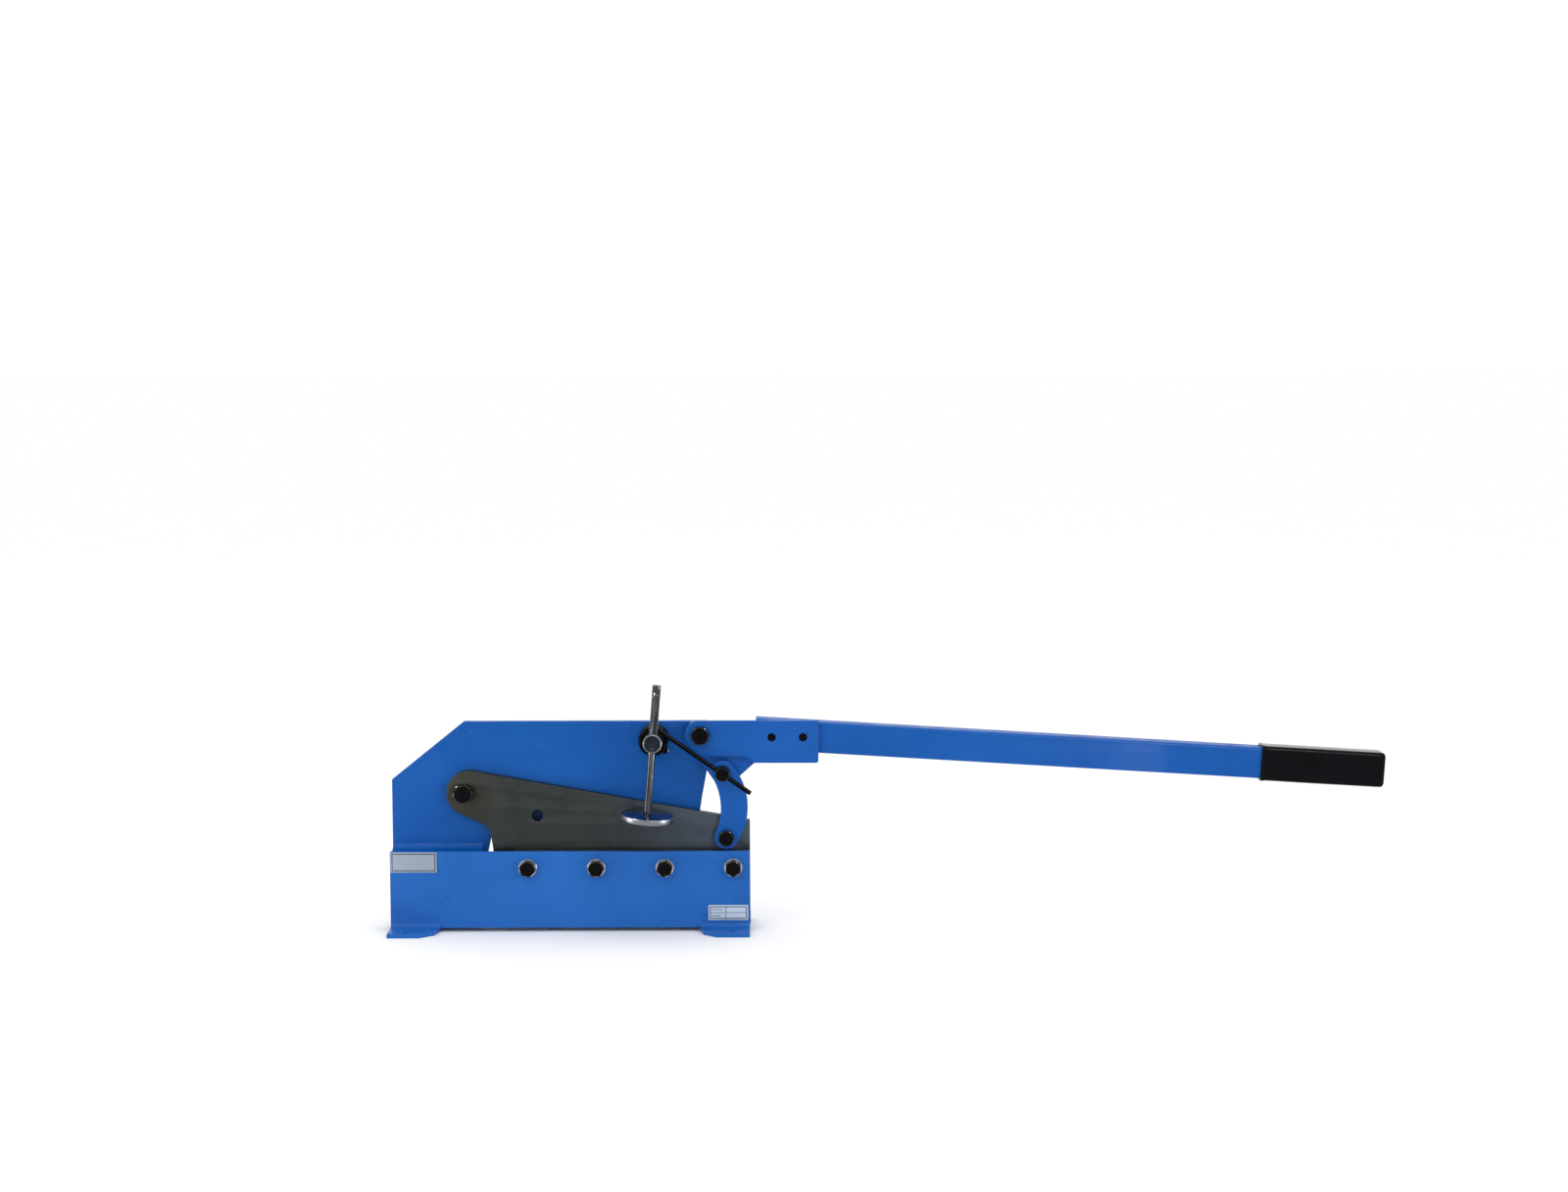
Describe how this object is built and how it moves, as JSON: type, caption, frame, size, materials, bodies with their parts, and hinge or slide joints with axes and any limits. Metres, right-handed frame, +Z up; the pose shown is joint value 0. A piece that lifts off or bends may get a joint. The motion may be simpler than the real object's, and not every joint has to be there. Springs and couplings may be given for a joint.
{
  "type": "bench plate shear",
  "caption": "Hand-lever bench shear for plate: a long lever drops a link that swings the upper blade past a fixed lower blade, with a screw hold-down and a bolt-down frame.",
  "frame": {"origin": "middle of the overall footprint, on the bench surface under the feet", "axes": "+X along the blades from the blade pivot to the lever's grip, +Y away from the operator, +Z up"},
  "size_m": [1.2828, 0.1344, 0.3224],
  "materials": {
    "blue_paint": "gloss blue paint over steel plate",
    "blade_steel": "dark ground tool steel, lightly oiled",
    "black_oxide": "black oxide on steel",
    "zinc_plate": "bright zinc plate",
    "bronze": "plain bearing bronze",
    "grip_rubber": "black moulded rubber",
    "plain_label": "satin plate with a thin dark border, left blank"
  },
  "bodies": {
    "frame": {"frame_plate": "blue_paint", "front_plate": "blue_paint", "spacer_left": "blue_paint", "spacer_right": "blue_paint", "spacer_weld": "blue_paint", "lower_blade": "blade_steel", "lower_blade_bolt_1": "black_oxide", "lower_blade_bolt_2": "black_oxide", "lower_blade_bolt_3": "black_oxide", "lower_blade_bolt_4": "black_oxide", "lower_blade_washer_1": "zinc_plate", "lower_blade_washer_2": "zinc_plate", "lower_blade_washer_3": "zinc_plate", "lower_blade_washer_4": "zinc_plate", "name_plate": "plain_label", "data_plate": "plain_label", "blade_pivot_bolt": "black_oxide", "blade_pivot_washer": "zinc_plate", "blade_pivot_nut": "black_oxide", "lever_pivot_bolt": "black_oxide", "lever_pivot_nut": "black_oxide", "spring_coil": "black_oxide"},
    "blade": {"upper_blade": "blade_steel", "blade_pivot_bush": "bronze"},
    "lever": {"lever_arm_front": "blue_paint", "lever_arm_rear": "blue_paint", "lever_plate": "blue_paint", "lever_pivot_bush": "bronze", "lever_spacer_ring": "zinc_plate", "lever_tube": "blue_paint", "lever_pin_1": "black_oxide", "lever_pin_2": "black_oxide", "grip": "grip_rubber"},
    "link": {"link_plate": "blue_paint", "link_bolt": "black_oxide", "link_washer": "zinc_plate", "link_nut": "black_oxide"},
    "spring_end": {"spring_leg": "black_oxide"},
    "eye": {"spring_eye": "black_oxide", "spring_eye_nut": "black_oxide"},
    "post": {"hold_down_post": "zinc_plate", "hold_down_post_washer": "zinc_plate", "hold_down_post_nut": "black_oxide"},
    "rod": {"hold_down_rod": "zinc_plate", "hold_down_pad": "zinc_plate"}
  },
  "joints": [
    {"name": "lever_pivot", "type": "hinge", "parent": "frame", "child": "lever", "pos_m": [-0.24181, 0.0048, 0.2531], "axis": [0, -1, 0], "range_deg": [0, 60]},
    {"name": "blade_pivot", "type": "hinge", "parent": "frame", "child": "blade", "pos_m": [-0.54741, 0.0048, 0.1775], "axis": [0, -1, 0], "range_deg": [0, 8]},
    {"name": "link_pivot", "type": "hinge", "parent": "lever", "child": "link", "pos_m": [-0.21311, 0.0048, 0.2054], "axis": [0, -1, 0], "range_deg": [-77.5, 0]},
    {"name": "spring_swing", "type": "hinge", "parent": "frame", "child": "spring_end", "pos_m": [-0.30141, 0.0048, 0.2478], "axis": [0, -1, 0], "range_deg": [0, 30.3]},
    {"name": "eye_swivel", "type": "hinge", "parent": "lever", "child": "eye", "pos_m": [-0.21311, 0.0048, 0.2054], "axis": [0, -1, 0], "range_deg": [-30, 0]},
    {"name": "hold_down_swivel", "type": "hinge", "parent": "frame", "child": "post", "pos_m": [-0.30141, 0.0048, 0.2478], "axis": [0, -1, 0], "range_deg": [-15, 15]},
    {"name": "hold_down_feed", "type": "slide", "parent": "post", "child": "rod", "axis": [0.0802, 0, 0.9968], "range_m": [-0.036, 0.008]}
  ],
  "couplings": [
    {"joint": "blade_pivot", "follows": "lever_pivot", "ratio": 0.1333},
    {"joint": "link_pivot", "follows": "lever_pivot", "ratio": -1.2911},
    {"joint": "spring_swing", "follows": "lever_pivot", "ratio": 0.5036},
    {"joint": "eye_swivel", "follows": "lever_pivot", "ratio": -0.4964}
  ]
}
